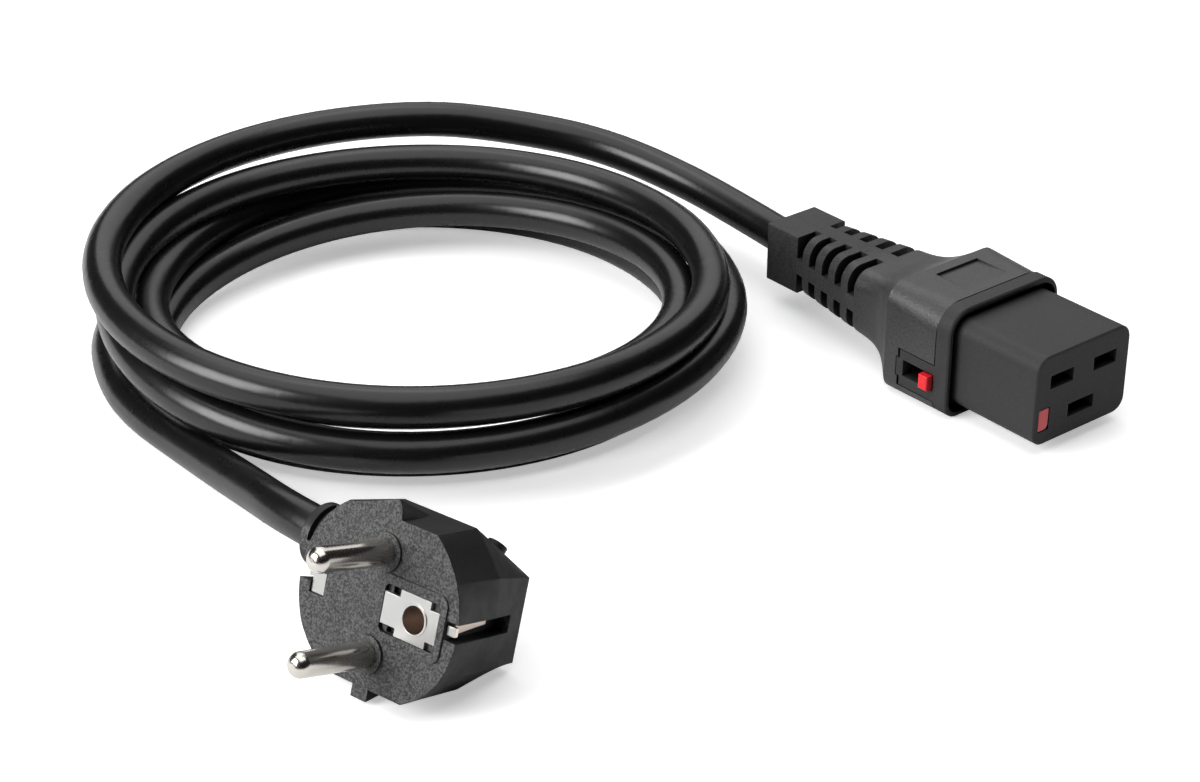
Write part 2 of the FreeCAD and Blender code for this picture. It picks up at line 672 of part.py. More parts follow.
def rear_overmould():
    half = BODY_HEIGHT / 2
    grip = Part.makeLoft([
        section_x(SEAM_X - SEAM_GAP, BODY_WIDTH, -half, half, TOP_RADIUS, BOTTOM_RADIUS),
        section_x(GRIP_REAR, BODY_WIDTH, -half, half, GRIP_REAR_TOP_RADIUS, GRIP_REAR_BOTTOM_RADIUS),
    ], True, True)
    body = grip.fuse(neck()).fuse(strain_relief())
    gap = INSERT_GAP
    body = body.cut(rounded_block(CORE_REAR - gap, SEAM_X, NOSE_WIDTH + 2 * gap, NOSE_HEIGHT + 2 * gap,
                                  NOSE_RADIUS + gap))
    filling = rear_cavity(gap).common(box(CORE_REAR - 1, RETAINER_REAR - gap, -BODY_WIDTH, BODY_WIDTH,
                                          -BODY_HEIGHT, BODY_HEIGHT))
    body = body.fuse(filling)
    body = body.cut(tongue_window())
    body = body.cut(label_recess())
    body = body.cut(rod_x(-LENGTH / 2, LEAD_START, 0, 0, CORD_RADIUS + CORD_CLEARANCE))
    for route in core_routes().values():
        body = body.cut(tunnel(route))
    return body.removeSplitter()


def to_part(shape):
    """From the connector's axis frame to the part's frame."""
    moved = shape.copy()
    moved.translate(V(0, AXIS_Y, AXIS_Z))
    return moved


# ---------------------------------------------------------------- coil
def cord_coil():
    """Outer shape of the coiled cord: a ring, higher outside than inside."""
    centre = V(COIL_CENTRE_X, COIL_CENTRE_Y, 0)
    inner = COIL_INNER_RADIUS
    outer = COIL_OUTER_RADIUS
    section = [
        (inner + COIL_EDGE, 0),
        (outer - COIL_EDGE, 0),
        (outer, COIL_EDGE),
        (outer, COIL_HEIGHT - COIL_EDGE),
        (outer - COIL_EDGE, COIL_HEIGHT),
        ((inner + outer) / 2, COIL_HEIGHT),
        (inner + COIL_EDGE, COIL_INNER_HEIGHT + COIL_EDGE / 2),
        (inner, COIL_INNER_HEIGHT - COIL_EDGE / 2),
        (inner, COIL_EDGE),
    ]
    corners = [centre + V(r, 0, z) for r, z in section]
    face = Part.Face(Part.makePolygon(corners + corners[:1]))
    return face.revolve(centre, V(0, 0, 1), 360)


# ---------------------------------------------------------------- plug, in its own frame
def plug_placement():
    turn = FreeCAD.Rotation(V(0, 0, 1), PLUG_YAW)
    turn = turn.multiply(FreeCAD.Rotation(V(0, 1, 0), -PLUG_PITCH))
    turn = turn.multiply(FreeCAD.Rotation(V(1, 0, 0), PLUG_ROLL))
    return FreeCAD.Placement(V(PLUG_FACE_X, PLUG_FACE_Y, PLUG_FACE_Z), turn)


def place_plug(shape):
    moved = shape.copy()
    moved.Placement = plug_placement().multiply(moved.Placement)
    return moved


def in_part(x, y, z):
    return plug_placement().multVec(V(x, y, z))


def plug_section(x, corners, bulge):
    """Section across the plug: the given corners and their mirror images, with arcs on its sides and corners."""
    outline = corners + [(-y, z) for y, z in reversed(corners)]
    flats = (len(corners) - 1, len(outline) - 1)
    edges = []
    for i, first in enumerate(outline):
        second = outline[(i + 1) % len(outline)]
        start = V(x, *first)
        end = V(x, *second)
        if bulge == 0 or i in flats:
            edges.append(Part.LineSegment(start, end).toShape())
            continue
        middle = (start + end) / 2
        outward = V(0, middle.y, middle.z).normalize()
        half_chord = start.distanceToPoint(end) / 2
        rise = FACE_RADIUS - math.sqrt(FACE_RADIUS ** 2 - half_chord ** 2)
        edges.append(Part.Arc(start, middle + outward * (rise * bulge), end).toShape())
    return Part.Wire(edges)


def plug_block():
    """Round face, shoulder and flat-sided back, with the ridge and the land at the rim and the bump behind."""
    face = plug_section(0.0, FACE_CORNERS, 1.0)
    shoulder = plug_section(-PLUG_SHOULDER_AT, SHOULDER_CORNERS, PLUG_SHOULDER_BULGE)
    back = plug_section(-PLUG_DEPTH, BACK_CORNERS, 0.0)
    block = Part.makeLoft([face, shoulder], True, True).fuse(Part.makeLoft([shoulder, back], True, True))
    corners = [V(0, y, z) for y, z in RIDGE_OUTLINE]
    ridge = Part.Face(Part.makePolygon(corners + corners[:1])).extrude(V(-RIDGE_LENGTH, 0, -RIDGE_FALL))
    land_top = FACE_CORNERS[0][1] + LAND_INSIDE
    corners = [V(0, LAND_LEFT, LAND_LOW), V(0, LAND_RIGHT, LAND_LOW), V(0, LAND_RIGHT, land_top),
               V(0, LAND_LEFT, land_top)]
    land = Part.Face(Part.makePolygon(corners + corners[:1])).extrude(V(-LAND_LENGTH, 0, LAND_RISE))
    x, y = BUMP_AT
    top_shoulder = SHOULDER_CORNERS[-1][1]
    fall = (top_shoulder - BACK_CORNERS[-1][1]) / (PLUG_DEPTH - PLUG_SHOULDER_AT)
    normal = V(-fall, 0, 1).normalize()
    foot = V(x, y, top_shoulder + (x + PLUG_SHOULDER_AT) * fall)
    bump = Part.makeCylinder(BUMP_DIAMETER / 2, 2 * BUMP_HEIGHT, foot - normal * BUMP_HEIGHT, normal)
    return block.fuse(ridge).fuse(land).fuse(bump)


def collar():
    """Round cord collar with a crescent slot, and the neck that blends it into the plug's side."""
    end = COLLAR_END_Y + COLLAR_LENGTH
    ring = rod_y(COLLAR_END_Y, end, COLLAR_CENTRE_X, COLLAR_CENTRE_Z, COLLAR_DIAMETER / 2)
    ring = ring.makeChamfer(COLLAR_EDGE, edges_at(ring, "Y", COLLAR_END_Y))
    small = Part.Circle(V(COLLAR_CENTRE_X, end, COLLAR_CENTRE_Z), V(0, 1, 0), COLLAR_DIAMETER / 2)
    large = Part.Circle(V(NECK_ROOT_X, NECK_ROOT_Y, NECK_ROOT_Z), V(0, 1, 0), NECK_ROOT_DIAMETER / 2)
    blend = Part.makeLoft([Part.Wire(small.toShape()), Part.Wire(large.toShape())], True, True)
    y0 = COLLAR_END_Y + COLLAR_SLOT_FROM_END
    y1 = y0 + COLLAR_SLOT_WIDTH
    slot = rod_y(y0, y1, COLLAR_CENTRE_X, COLLAR_CENTRE_Z, COLLAR_DIAMETER)
    slot = slot.cut(rod_y(y0, y1, COLLAR_CENTRE_X, COLLAR_CENTRE_Z, COLLAR_DIAMETER / 2 - COLLAR_SLOT_DEPTH))
    quarter = box(COLLAR_CENTRE_X, COLLAR_CENTRE_X + COLLAR_DIAMETER, y0, y1, COLLAR_CENTRE_Z,
                  COLLAR_CENTRE_Z + COLLAR_DIAMETER)
    return ring.fuse(blend).cut(slot.common(quarter))


def pin_heights():
    return [("live", PIN_SPACING / 2), ("neutral", -PIN_SPACING / 2)]


def slot_floor(x):
    """Distance of the side slots' floor from the plug's middle plane, following the side's slope."""
    slope = (FACE_RADIUS - PLUG_BACK_WIDTH / 2) / PLUG_DEPTH
    return FACE_RADIUS - SIDE_SLOT_DEPTH + x * slope


def side_slots():
    """Open slots for the side contacts, rising a little towards the face; the one beside the cord is shorter."""
    far = FACE_RADIUS + SIDE_SLOT_DEPTH
    slots = []
    for side, length in ((-1, CORD_SIDE_SLOT_LENGTH), (1, SIDE_SLOT_LENGTH)):
        outline = [(SIDE_SLOT_DEPTH, side * slot_floor(SIDE_SLOT_DEPTH)), (SIDE_SLOT_DEPTH, side * far),
                   (-length, side * far), (-length, side * slot_floor(-length))]
        low = SIDE_SLOT_LOW + SIDE_SLOT_RISE
        rising = [(SIDE_SLOT_DEPTH, low), (SIDE_SLOT_DEPTH, low + SIDE_SLOT_HEIGHT),
                  (-SIDE_SLOT_LENGTH, SIDE_SLOT_LOW + SIDE_SLOT_HEIGHT), (-SIDE_SLOT_LENGTH, SIDE_SLOT_LOW)]
        slots.append(plate_xy(outline, -FACE_RADIUS, FACE_RADIUS).common(plate_xz(rising, -far, far)))
    return slots


def strap_tab(gap):
    """Wide end of the cord-side contact, turned inwards and lying in the face; a gap makes its room."""
    rear = -STRAP_FROM_FACE - STRAP_THICKNESS - gap
    front = 0.0 if gap else -STRAP_FROM_FACE
    outer = -slot_floor(0) - gap
    return box(rear, front, outer, -STRAP_TAB_FROM_MIDDLE + gap, STRAP_TAB_LOW - gap, STRAP_TAB_HIGH + gap)


def earth_strap():
    """Bent strip: two side contacts, a cross bar with an eye round the earth tube, and a crimp barrel."""
    gap = STRAP_GAP
    sheet = STRAP_THICKNESS
    front = -STRAP_FROM_FACE
    rear = -STRAP_REACH
    inner_front = slot_floor(front) + gap
    inner_rear = slot_floor(rear) + gap
    strip = plate_xy([
        (front, inner_front + STRAP_FOOT),
        (front - sheet, inner_front + STRAP_FOOT),
        (front - sheet, inner_front + sheet),
        (rear, inner_rear + sheet),
        (rear, -inner_rear - sheet),
        (front, -inner_front - sheet),
        (front, -inner_front),
        (rear + sheet, -slot_floor(rear + sheet) - gap),
        (rear + sheet, slot_floor(rear + sheet) + gap),
        (front, inner_front),
    ], STRAP_LOW, STRAP_HIGH)
    leg = plate_xy([
        (rear, inner_rear),
        (rear, inner_rear + sheet),
        (-STRAP_LEG_END, slot_floor(-STRAP_LEG_END) + gap + sheet),
        (-STRAP_LEG_END, slot_floor(-STRAP_LEG_END) + gap),
    ], STRAP_LOW, STRAP_HIGH)
    tube_room = EARTH_HOLE_DIAMETER / 2 + EARTH_TUBE_WALL + INSERT_GAP
    eye = rod_x(rear, rear + sheet, EARTH_HOLE_OFFSET, 0, tube_room + STRAP_EYE_WALL)
    barrel_x = rear - WIRE_HOLE_RADIUS - BARREL_WALL / 2
    y0 = -STRAP_BARREL_MIDDLE - STRAP_BARREL_LENGTH / 2
    y1 = -STRAP_BARREL_MIDDLE + STRAP_BARREL_LENGTH / 2
    barrel = rod_y(y0, y1, barrel_x, 0, WIRE_HOLE_RADIUS + BARREL_WALL)
    strap = strip.fuse(leg).fuse(strap_tab(0.0)).fuse(eye).fuse(barrel)
    strap = strap.cut(rod_x(rear, rear + sheet, EARTH_HOLE_OFFSET, 0, tube_room))
    strap = strap.cut(rod_y(y0, y1 - BARREL_WALL, barrel_x, 0, WIRE_HOLE_RADIUS))
    return strap.removeSplitter()


def strap_room():
    """Room in the plug's body for the strap's cross bar, eye and barrel."""
    gap = STRAP_GAP
    rear = -STRAP_REACH - gap
    front = -STRAP_REACH + STRAP_THICKNESS + gap
    reach = slot_floor(-STRAP_REACH) + STRAP_THICKNESS + 2 * gap
    cross = box(rear, front, -reach, reach, STRAP_LOW - gap, STRAP_HIGH + gap)
    tube_room = EARTH_HOLE_DIAMETER / 2 + EARTH_TUBE_WALL + INSERT_GAP
    eye = rod_x(rear, front, EARTH_HOLE_OFFSET, 0, tube_room + STRAP_EYE_WALL + gap)
    barrel_x = -STRAP_REACH - WIRE_HOLE_RADIUS - BARREL_WALL / 2
    reach_y = STRAP_BARREL_LENGTH / 2 + gap
    barrel = rod_y(-STRAP_BARREL_MIDDLE - reach_y, -STRAP_BARREL_MIDDLE + reach_y, barrel_x, 0,
                   WIRE_HOLE_RADIUS + BARREL_WALL + gap)
    return cross.fuse(eye).fuse(barrel)


def earth_socket():
    """Plate in the face with notched corners and the tube that takes the fixed earth pin."""
    half_y = EARTH_PLATE_WIDTH / 2
    half_z = EARTH_PLATE_HEIGHT / 2
    notch = EARTH_PLATE_NOTCH
    rear = -EARTH_POCKET_DEPTH + INSERT_GAP
    front = rear + EARTH_PLATE_THICKNESS
    plate = box(rear, front, EARTH_PLATE_MIDDLE - half_y, EARTH_PLATE_MIDDLE + half_y, -half_z, half_z)
    inner_y, outer_y = EARTH_PLATE_MIDDLE - half_y, EARTH_PLATE_MIDDLE + half_y
    for side in (-1, 1):
        z0, z1 = sorted((side * (half_z - notch), side * half_z))
        plate = plate.cut(box(rear, front, outer_y - EARTH_OUTER_NOTCH_LENGTH, outer_y, z0, z1))
        plate = plate.cut(box(rear, front, inner_y, inner_y + EARTH_INNER_NOTCH_LENGTH, z0, z1))
    bore = EARTH_HOLE_DIAMETER / 2
    rim = front + EARTH_RIM_PROUD
    tube = rod_x(front - EARTH_TUBE_LENGTH, rim, EARTH_HOLE_OFFSET, 0, bore + EARTH_TUBE_WALL)
    closed = plate.fuse(tube)
    return closed.cut(rod_x(front - EARTH_TUBE_LENGTH + EARTH_TUBE_WALL, rim, EARTH_HOLE_OFFSET, 0, bore))


def plug_pin(z):
    """Round pin with a domed tip, a thinner shank through the bridge and a crimp tail across its end."""
    radius = PIN_DIAMETER / 2
    free = PIN_RING_HEIGHT + PIN_GAP
    pin = rod_x(free, PIN_LENGTH, 0, z, radius)
    pin = pin.makeFillet(radius * PIN_TIP_ROUNDING, edges_at(pin, "X", PIN_LENGTH))
    pin = pin.fuse(rod_x(-PIN_SHANK, free, 0, z, PIN_SHANK_DIAMETER / 2))
    tail_x = -PIN_SHANK + TAIL_FROM_SHANK_END
    barrel = rod_y(-TAIL_LENGTH, 0, tail_x, z, WIRE_HOLE_RADIUS + BARREL_WALL)
    bore = rod_y(-TAIL_LENGTH, -TAIL_BORE_FROM_AXIS, tail_x, z, WIRE_HOLE_RADIUS)
    return pin.fuse(barrel).cut(bore).removeSplitter()


def pin_room(z):
    """Room in the plug's body round a pin's shank and tail."""
    gap = PIN_GAP
    shank = rod_x(-PIN_SHANK - gap, PIN_RING_HEIGHT, 0, z, PIN_SHANK_DIAMETER / 2 + gap)
    tail_x = -PIN_SHANK + TAIL_FROM_SHANK_END
    tail = rod_y(-TAIL_LENGTH - gap, 0, tail_x, z, WIRE_HOLE_RADIUS + BARREL_WALL + gap)
    return shank.fuse(tail)


def pin_bridge(gap=0.0):
    """Insert that holds the two pins; a gap makes the room for it."""
    front = -BRIDGE_BEHIND_FACE + gap
    rear = -BRIDGE_BEHIND_FACE - BRIDGE_LENGTH - gap
    return rounded_block(rear, front, BRIDGE_WIDTH + 2 * gap, BRIDGE_HEIGHT + 2 * gap, BRIDGE_RADIUS)


def bored_pin_bridge():
    bridge = pin_bridge()
    for _, z in pin_heights():
        bridge = bridge.cut(rod_x(-PIN_SHANK, 0, 0, z, PIN_SHANK_DIAMETER / 2 + PIN_GAP))
    return bridge


def plug_cord_seat():
    return rod_y(COLLAR_END_Y, COLLAR_END_Y + PLUG_CORD_SEAT, COLLAR_CENTRE_X, COLLAR_CENTRE_Z,
                 CORD_RADIUS + CORD_CLEARANCE)


def plug_core_routes():
    """Cores from just inside the cord's seat to the two pins' tails and the strap's barrel."""
    start_y = COLLAR_END_Y + PLUG_CORD_SEAT - WIRE_DIAMETER / 4
    places = [gathered(order) for order in range(3)]
    starts = [V(COLLAR_CENTRE_X + dx, start_y, COLLAR_CENTRE_Z + dz) for dx, dz in places]
    middle = V((COLLAR_CENTRE_X + NECK_ROOT_X) / 2, CORE_SPREAD_Y, (COLLAR_CENTRE_Z + NECK_ROOT_Z) / 2)
    spread = [V(*offset) for offset in CORE_SPREAD]
    tail_x = -PIN_SHANK + TAIL_FROM_SHANK_END
    pin_stop = -TAIL_BORE_FROM_AXIS - WIRE_CLEARANCE
    pin_turn = -TAIL_LENGTH - CORE_STRAIGHT
    strap_x = -STRAP_REACH - WIRE_HOLE_RADIUS - BARREL_WALL / 2
    strap_stop = -STRAP_BARREL_MIDDLE + STRAP_BARREL_LENGTH / 2 - BARREL_WALL - WIRE_CLEARANCE
    strap_turn = -STRAP_BARREL_MIDDLE - STRAP_BARREL_LENGTH / 2 - CORE_STRAIGHT / 2
    upper = PIN_SPACING / 2
    return {
        "plug_line_wire": [starts[0], middle + spread[0], V(tail_x, pin_turn, upper), V(tail_x, pin_stop, upper)],
        "plug_neutral_wire": [starts[1], middle + spread[1], V(tail_x, pin_turn, -upper),
                              V(tail_x, pin_stop, -upper)],
        "plug_earth_wire": [starts[2], middle + spread[2], V(strap_x, strap_turn, 0), V(strap_x, strap_stop, 0)],
    }


def earth_sinks():
    """Deeper holes in the pocket's floor under the plate's two inner notches."""
    half_z = EARTH_PLATE_HEIGHT / 2
    y0 = EARTH_PLATE_MIDDLE - EARTH_PLATE_WIDTH / 2 + EARTH_INNER_NOTCH_LENGTH / 3
    y1 = EARTH_PLATE_MIDDLE - EARTH_PLATE_WIDTH / 2 + EARTH_INNER_NOTCH_LENGTH
    sinks = []
    for side in (-1, 1):
        z0, z1 = sorted((side * (half_z - EARTH_PLATE_NOTCH), side * half_z))
        sinks.append(box(-EARTH_SINK_DEPTH, 0, y0, y1, z0, z1))
    return sinks


def plug_body():
    body = plug_block().fuse(collar())
    for _, z in pin_heights():
        body = body.fuse(rod_x(-PIN_RING_HEIGHT, PIN_RING_HEIGHT, 0, z, PIN_RING_DIAMETER / 2))
    frame = rounded_block(-EARTH_POCKET_DEPTH, EARTH_FRAME_RISE, EARTH_FRAME_WIDTH, EARTH_FRAME_HEIGHT,
                          EARTH_FRAME_RADIUS, EARTH_PLATE_MIDDLE)
    pocket = rounded_block(-EARTH_POCKET_DEPTH, EARTH_FRAME_RISE, EARTH_PLATE_WIDTH + 2 * EARTH_POCKET_GAP,
                           EARTH_PLATE_HEIGHT + 2 * EARTH_POCKET_GAP, EARTH_FRAME_RADIUS / 2, EARTH_PLATE_MIDDLE)
    body = body.fuse(frame).cut(pocket)
    for sink in earth_sinks():
        body = body.cut(sink)
    for slot in side_slots():
        body = body.cut(slot)
    body = body.cut(strap_tab(STRAP_GAP))
    for _, z in pin_heights():
        body = body.cut(pin_room(z))
    body = body.cut(pin_bridge(BRIDGE_GAP))
    body = body.cut(strap_room())
    tube_room = EARTH_HOLE_DIAMETER / 2 + EARTH_TUBE_WALL + INSERT_GAP
    body = body.cut(rod_x(-EARTH_TUBE_LENGTH - EARTH_POCKET_DEPTH, 0, EARTH_HOLE_OFFSET, 0, tube_room))
    body = body.cut(plug_cord_seat())
    for route in plug_core_routes().values():
        body = body.cut(tunnel(route))
    return body.removeSplitter()


def tail_route():
    """Free cord from inside the plug's collar to the coil."""
    seat = in_part(COLLAR_CENTRE_X, COLLAR_END_Y + PLUG_CORD_SEAT, COLLAR_CENTRE_Z)
    clear_of_collar = in_part(COLLAR_CENTRE_X, COLLAR_END_Y - PLUG_CORD_STRAIGHT, COLLAR_CENTRE_Z)
    return [seat, clear_of_collar] + TAIL_POINTS


# ---------------------------------------------------------------- all nodes
def nodes():
    made = {
        "socket_body": to_part(socket_body()),
        "rear_overmould": to_part(rear_overmould()),
        "release_slider": to_part(release_slider()),
        "slider_spring": to_part(slider_spring()),
        "lock_clip": to_part(lock_clip()),
        "contact_retainer": to_part(contact_retainer()),
    }
    routes = core_routes()
    for name, y, z, width in poles():
        made[name + "_contact"] = to_part(contact(y, z, width))
        made[name + "_wire"] = to_part(mitred(routes[name], WIRE_DIAMETER / 2))
    made["cord_lead"] = tube_along("cord_lead", LEAD_POINTS, CORD_RADIUS)
    made["cord_coil"] = cord_coil()
    made["cord_tail"] = tube_along("cord_tail", tail_route(), CORD_RADIUS)
    made["plug_body"] = place_plug(plug_body())
    made["pin_bridge"] = place_plug(bored_pin_bridge())
    for name, z in pin_heights():
        made[name + "_pin"] = place_plug(plug_pin(z))
    made["earth_strap"] = place_plug(earth_strap())
    made["earth_socket"] = place_plug(earth_socket())
    for name, route in plug_core_routes().items():
        made[name] = place_plug(mitred(route, WIRE_DIAMETER / 2).cut(plug_cord_seat()))
    return made


os.makedirs("parts", exist_ok=True)
for node, shape in nodes().items():
    shape.exportStep("parts/" + node + ".step")
    print("%-18s %d solid, valid %s, volume %.1f" % (node, len(shape.Solids), shape.isValid(), shape.Volume))
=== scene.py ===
"""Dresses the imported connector, its coiled cord and its mains plug, and sets the camera and the light."""
import json
import math

import bpy
from mathutils import Matrix, Vector

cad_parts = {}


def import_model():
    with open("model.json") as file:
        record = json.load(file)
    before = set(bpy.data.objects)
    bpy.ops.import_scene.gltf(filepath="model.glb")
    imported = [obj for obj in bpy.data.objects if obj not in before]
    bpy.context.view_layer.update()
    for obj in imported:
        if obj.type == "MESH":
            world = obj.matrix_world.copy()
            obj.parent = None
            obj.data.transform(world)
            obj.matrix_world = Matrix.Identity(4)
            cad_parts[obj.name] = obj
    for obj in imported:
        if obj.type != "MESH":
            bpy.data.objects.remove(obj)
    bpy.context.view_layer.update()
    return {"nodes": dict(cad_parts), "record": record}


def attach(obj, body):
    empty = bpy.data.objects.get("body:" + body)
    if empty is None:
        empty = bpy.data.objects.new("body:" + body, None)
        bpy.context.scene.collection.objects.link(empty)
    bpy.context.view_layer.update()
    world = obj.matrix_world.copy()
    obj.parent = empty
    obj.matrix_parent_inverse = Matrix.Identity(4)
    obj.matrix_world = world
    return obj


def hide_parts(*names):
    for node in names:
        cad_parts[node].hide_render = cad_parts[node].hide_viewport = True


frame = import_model()
nodes = frame["nodes"]
MM = 0.001

# ---------------------------------------------------------------- shared places, in millimetres
CORD_DIAMETER = 8.4
COIL_CENTRE = (-74.7, -84.9)
COIL_START_ANGLE = 141.06
POINTS_PER_TURN = 16

# Direction out of the plug's face
PLUG_AXIS = (0.1676, -0.9222, 0.3486)

# Route of the cord. Lead: from the relief to the coil. Tail: from the coil to the plug.
LEAD = [
    (-32.6, 0.85, 12.6),
    (-44.4, 0.95, 12.7),
    (-57.0, 1.7, 13.2),
    (-81.5, 1.0, 15.3),
    (-104.6, -6.4, 19.0),
    (-120.6, -21.2, 22.3),
]
# Radius and height of the cord at each quarter turn of the coil, from the far side to the left, near
# and right.
COIL = [
    (71.5, 26.0), (65.5, 25.8), (64.8, 22.0), (66.3, 19.4),
    (59.2, 19.9), (62.0, 18.8), (67.4, 12.7), (70.5, 12.3),
    (64.9, 12.5), (56.6, 12.7), (48.4, 12.6), (60.2, 12.8),
    (51.7, 11.0), (55.8, 4.4), (53.2, 4.25), (62.0, 4.25),
    (66.2, 4.25), (65.6, 4.25),
]
# Where the coil departs from that smooth course: quarter, then how much wider and higher the cord lies there.
COIL_NUDGES = [(0.5, -0.8, 0.0), (4.7, 1.2, 0.0), (6.5, -1.6, 0.3), (7.6, 1.0, 0.0)]
NUDGE_REACH = 0.75
TAIL = [
    (-95.2, -146.6, 4.25),
    (-79.0, -149.2, 4.4),
    (-63.2, -149.6, 5.3),
    (-47.3, -150.9, 7.2),
    (-31.8, -152.4, 9.7),
    (-14.5, -154.7, 12.9),
    (-1.5, -152.3, 12.4),
]


# ---------------------------------------------------------------- colours, and places along the connector
NICKEL = (0.52, 0.52, 0.51)
BRONZE = (0.8, 0.68, 0.6)
SLIDER_RED = (0.86, 0.016, 0.024)
PALE_TIP_RED = (1.0, 0.13, 0.14)
PLUG_SIDE_TONE_AND_SHADE = 0.013
RELIEF_END = (-20, -8)
SLIDER_TIP = (22, 30)


# ---------------------------------------------------------------- materials
def new_material(name):
    mat = bpy.data.materials.new(name)
    mat.use_nodes = True
    tree = mat.node_tree
    shader = tree.nodes["Principled BSDF"]
    return mat, tree, shader


def link(tree, a, out, b, into):
    tree.links.new(a.outputs[out], b.inputs[into])


def noise(tree, scale, detail=4.0, roughness=0.6, stretch=None):
    """Noise in the object's own metres."""
    coords = tree.nodes.new("ShaderNodeTexCoord")
    tex = tree.nodes.new("ShaderNodeTexNoise")
    tex.inputs["Scale"].default_value = scale
    tex.inputs["Detail"].default_value = detail
    tex.inputs["Roughness"].default_value = roughness
    if stretch is None:
        link(tree, coords, "Object", tex, "Vector")
        return tex
    mapping = tree.nodes.new("ShaderNodeMapping")
    mapping.inputs["Scale"].default_value = stretch
    link(tree, coords, "Object", mapping, "Vector")
    link(tree, mapping, "Vector", tex, "Vector")
    return tex


def edge_normal(tree, radius):
    bevel = tree.nodes.new("ShaderNodeBevel")
    bevel.samples = 6
    bevel.inputs["Radius"].default_value = radius
    return bevel


def along_length(tree, low, high, to_low, to_high):
    """Value that changes along the connector, between two places on its length axis in millimetres."""
    coords = tree.nodes.new("ShaderNodeTexCoord")
    split = tree.nodes.new("ShaderNodeSeparateXYZ")
    link(tree, coords, "Object", split, "Vector")
    return ramp(tree, split, "X", low * MM, high * MM, to_low, to_high)


def moulded(name, color, rough, grain_scale, grain_depth, edge=0.25 * MM, spec=0.5, mottling=0.12, wear=0.04,
            speckle=0.1):
    """Moulded plastic: mottled and finely speckled, with painted shade darkening its cavities, with grain and
    soft edges.
    """
    mat, tree, shader = new_material(name)
    shader.inputs["Base Color"].default_value = (*color, 1)
    shader.inputs["Roughness"].default_value = rough
    shader.inputs["Specular IOR Level"].default_value = spec
    cloud = noise(tree, 60.0)
    shade = tree.nodes.new("ShaderNodeMapRange")
    shade.inputs["To Min"].default_value = 1 - mottling
    shade.inputs["To Max"].default_value = 1 + mottling
    link(tree, cloud, "Fac", shade, "Value")
    grain = noise(tree, grain_scale, 3.0, 0.7)
    specks = tree.nodes.new("ShaderNodeMath")
    specks.operation = "MULTIPLY"
    link(tree, shade, "Result", specks, 0)
    link(tree, ramp(tree, grain, "Fac", 0.35, 0.65, 1 - speckle, 1 + speckle), "Result", specks, 1)
    # Painted shade: ambient occlusion darkens the colour in cavities, slots and creases where shade falls.
    openness = tree.nodes.new("ShaderNodeAmbientOcclusion")
    openness.inputs["Distance"].default_value = 6 * MM
    openness.samples = 8
    # Random speckle times painted cavity shade.
    speckle_and_cavity_shade = tree.nodes.new("ShaderNodeMath")
    speckle_and_cavity_shade.operation = "MULTIPLY"
    link(tree, specks, "Value", speckle_and_cavity_shade, 0)
    link(tree, ramp(tree, openness, "AO", 0.2, 0.7, 0.1, 1.0), "Result", speckle_and_cavity_shade, 1)
    tint = tree.nodes.new("ShaderNodeVectorMath")
    tint.operation = "SCALE"
    tint.inputs[0].default_value = color
    link(tree, speckle_and_cavity_shade, "Value", tint, "Scale")
    link(tree, tint, "Vector", shader, "Base Color")
    dull = tree.nodes.new("ShaderNodeMapRange")
    dull.inputs["To Min"].default_value = rough - wear
    dull.inputs["To Max"].default_value = rough + wear
    link(tree, noise(tree, 240.0, 3.0), "Fac", dull, "Value")
    link(tree, dull, "Result", shader, "Roughness")
    bump = tree.nodes.new("ShaderNodeBump")
    bump.inputs["Strength"].default_value = 1.0
    bump.inputs["Distance"].default_value = grain_depth
    link(tree, grain, "Fac", bump, "Height")
    link(tree, edge_normal(tree, edge), "Normal", bump, "Normal")
    link(tree, bump, "Normal", shader, "Normal")
    return mat


def metal(name, color, rough, edge=0.12 * MM, scratch=0.05):
    """Plated or bright metal with fine handling marks."""
    mat, tree, shader = new_material(name)
    shader.inputs["Base Color"].default_value = (*color, 1)
    shader.inputs["Metallic"].default_value = 1.0
    spread = tree.nodes.new("ShaderNodeMapRange")
    spread.inputs["To Min"].default_value = max(rough - scratch, 0.02)
    spread.inputs["To Max"].default_value = rough + scratch
    link(tree, noise(tree, 420.0, 5.0, 0.7), "Fac", spread, "Value")
    link(tree, spread, "Result", shader, "Roughness")
    bump = tree.nodes.new("ShaderNodeBump")
    bump.inputs["Distance"].default_value = 0.004 * MM
    link(tree, noise(tree, 900.0, 3.0), "Fac", bump, "Height")
    link(tree, edge_normal(tree, edge), "Normal", bump, "Normal")
    link(tree, bump, "Normal", shader, "Normal")
    return mat


def cord_jacket():
    """Extruded glossy jacket: faint ripple along its length and small dull patches."""
    mat, tree, shader = new_material("cord_jacket_pvc")
    shader.inputs["Base Color"].default_value = (0.0045, 0.0045, 0.005, 1)
    shader.inputs["Specular IOR Level"].default_value = 0.48
    spread = tree.nodes.new("ShaderNodeMapRange")
    spread.inputs["To Min"].default_value = 0.23
    spread.inputs["To Max"].default_value = 0.33
    link(tree, noise(tree, 130.0, 3.0), "Fac", spread, "Value")
    link(tree, spread, "Result", shader, "Roughness")
    bump = tree.nodes.new("ShaderNodeBump")
    bump.inputs["Distance"].default_value = 0.05 * MM
    link(tree, noise(tree, 220.0, 2.0), "Fac", bump, "Height")
    link(tree, bump, "Normal", shader, "Normal")
    return mat


def ramp(tree, source, out, low, high, to_low, to_high):
    """Smooth step from one value to another while the source goes from low to high."""
    step = tree.nodes.new("ShaderNodeMapRange")
    step.interpolation_type = "SMOOTHSTEP"
    step.inputs["From Min"].default_value = low
    step.inputs["From Max"].default_value = high
    step.inputs["To Min"].default_value = to_low
    step.inputs["To Max"].default_value = to_high
    link(tree, source, out, step, "Value")
    return step


